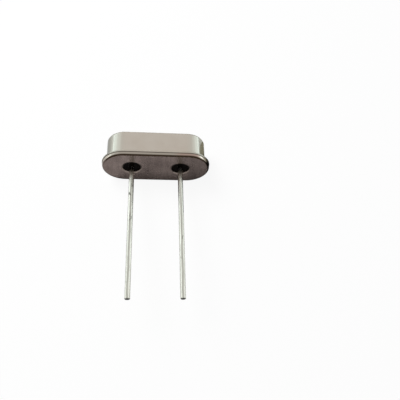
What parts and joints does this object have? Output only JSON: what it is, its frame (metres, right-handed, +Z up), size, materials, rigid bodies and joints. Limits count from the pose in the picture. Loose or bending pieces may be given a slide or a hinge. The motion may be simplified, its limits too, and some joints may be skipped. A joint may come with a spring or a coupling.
{
  "type": "crystal oscillator",
  "caption": "Low-profile quartz crystal in a flanged metal can with round ends, glass-sealed wire leads and an electroded quartz strip on spring clips inside.",
  "frame": {"origin": "on the surface the part lies on, under the middle of its bounding box", "axes": "+X along the long side of the can, +Y from the leads towards the top of the can, +Z up from the surface the part lies on; the leads point to -Y and rise by 10.5 degrees"},
  "size_m": [0.0108, 0.0168, 0.0051],
  "materials": {
    "nickel_silver_can": "satin drawn sheet",
    "plated_steel_base": "semi-gloss pressed plate",
    "black_seal_glass": "fused, glossy",
    "solder_dipped_wire": "satin, fine drawing lines",
    "nickel_clip": "stamped strip",
    "quartz": "lapped",
    "silver_film": "evaporated film",
    "conductive_adhesive": "cured silver-filled resin"
  },
  "bodies": {
    "root": {"can": "nickel_silver_can", "base": "plated_steel_base", "glass_seal_left": "black_seal_glass", "glass_seal_right": "black_seal_glass", "lead_left": "solder_dipped_wire", "lead_right": "solder_dipped_wire", "support_clip_left": "nickel_clip", "support_clip_right": "nickel_clip", "quartz_blank": "quartz", "electrode_upper": "silver_film", "electrode_lower": "silver_film", "adhesive_left": "conductive_adhesive", "adhesive_right": "conductive_adhesive"}
  },
  "joints": []
}
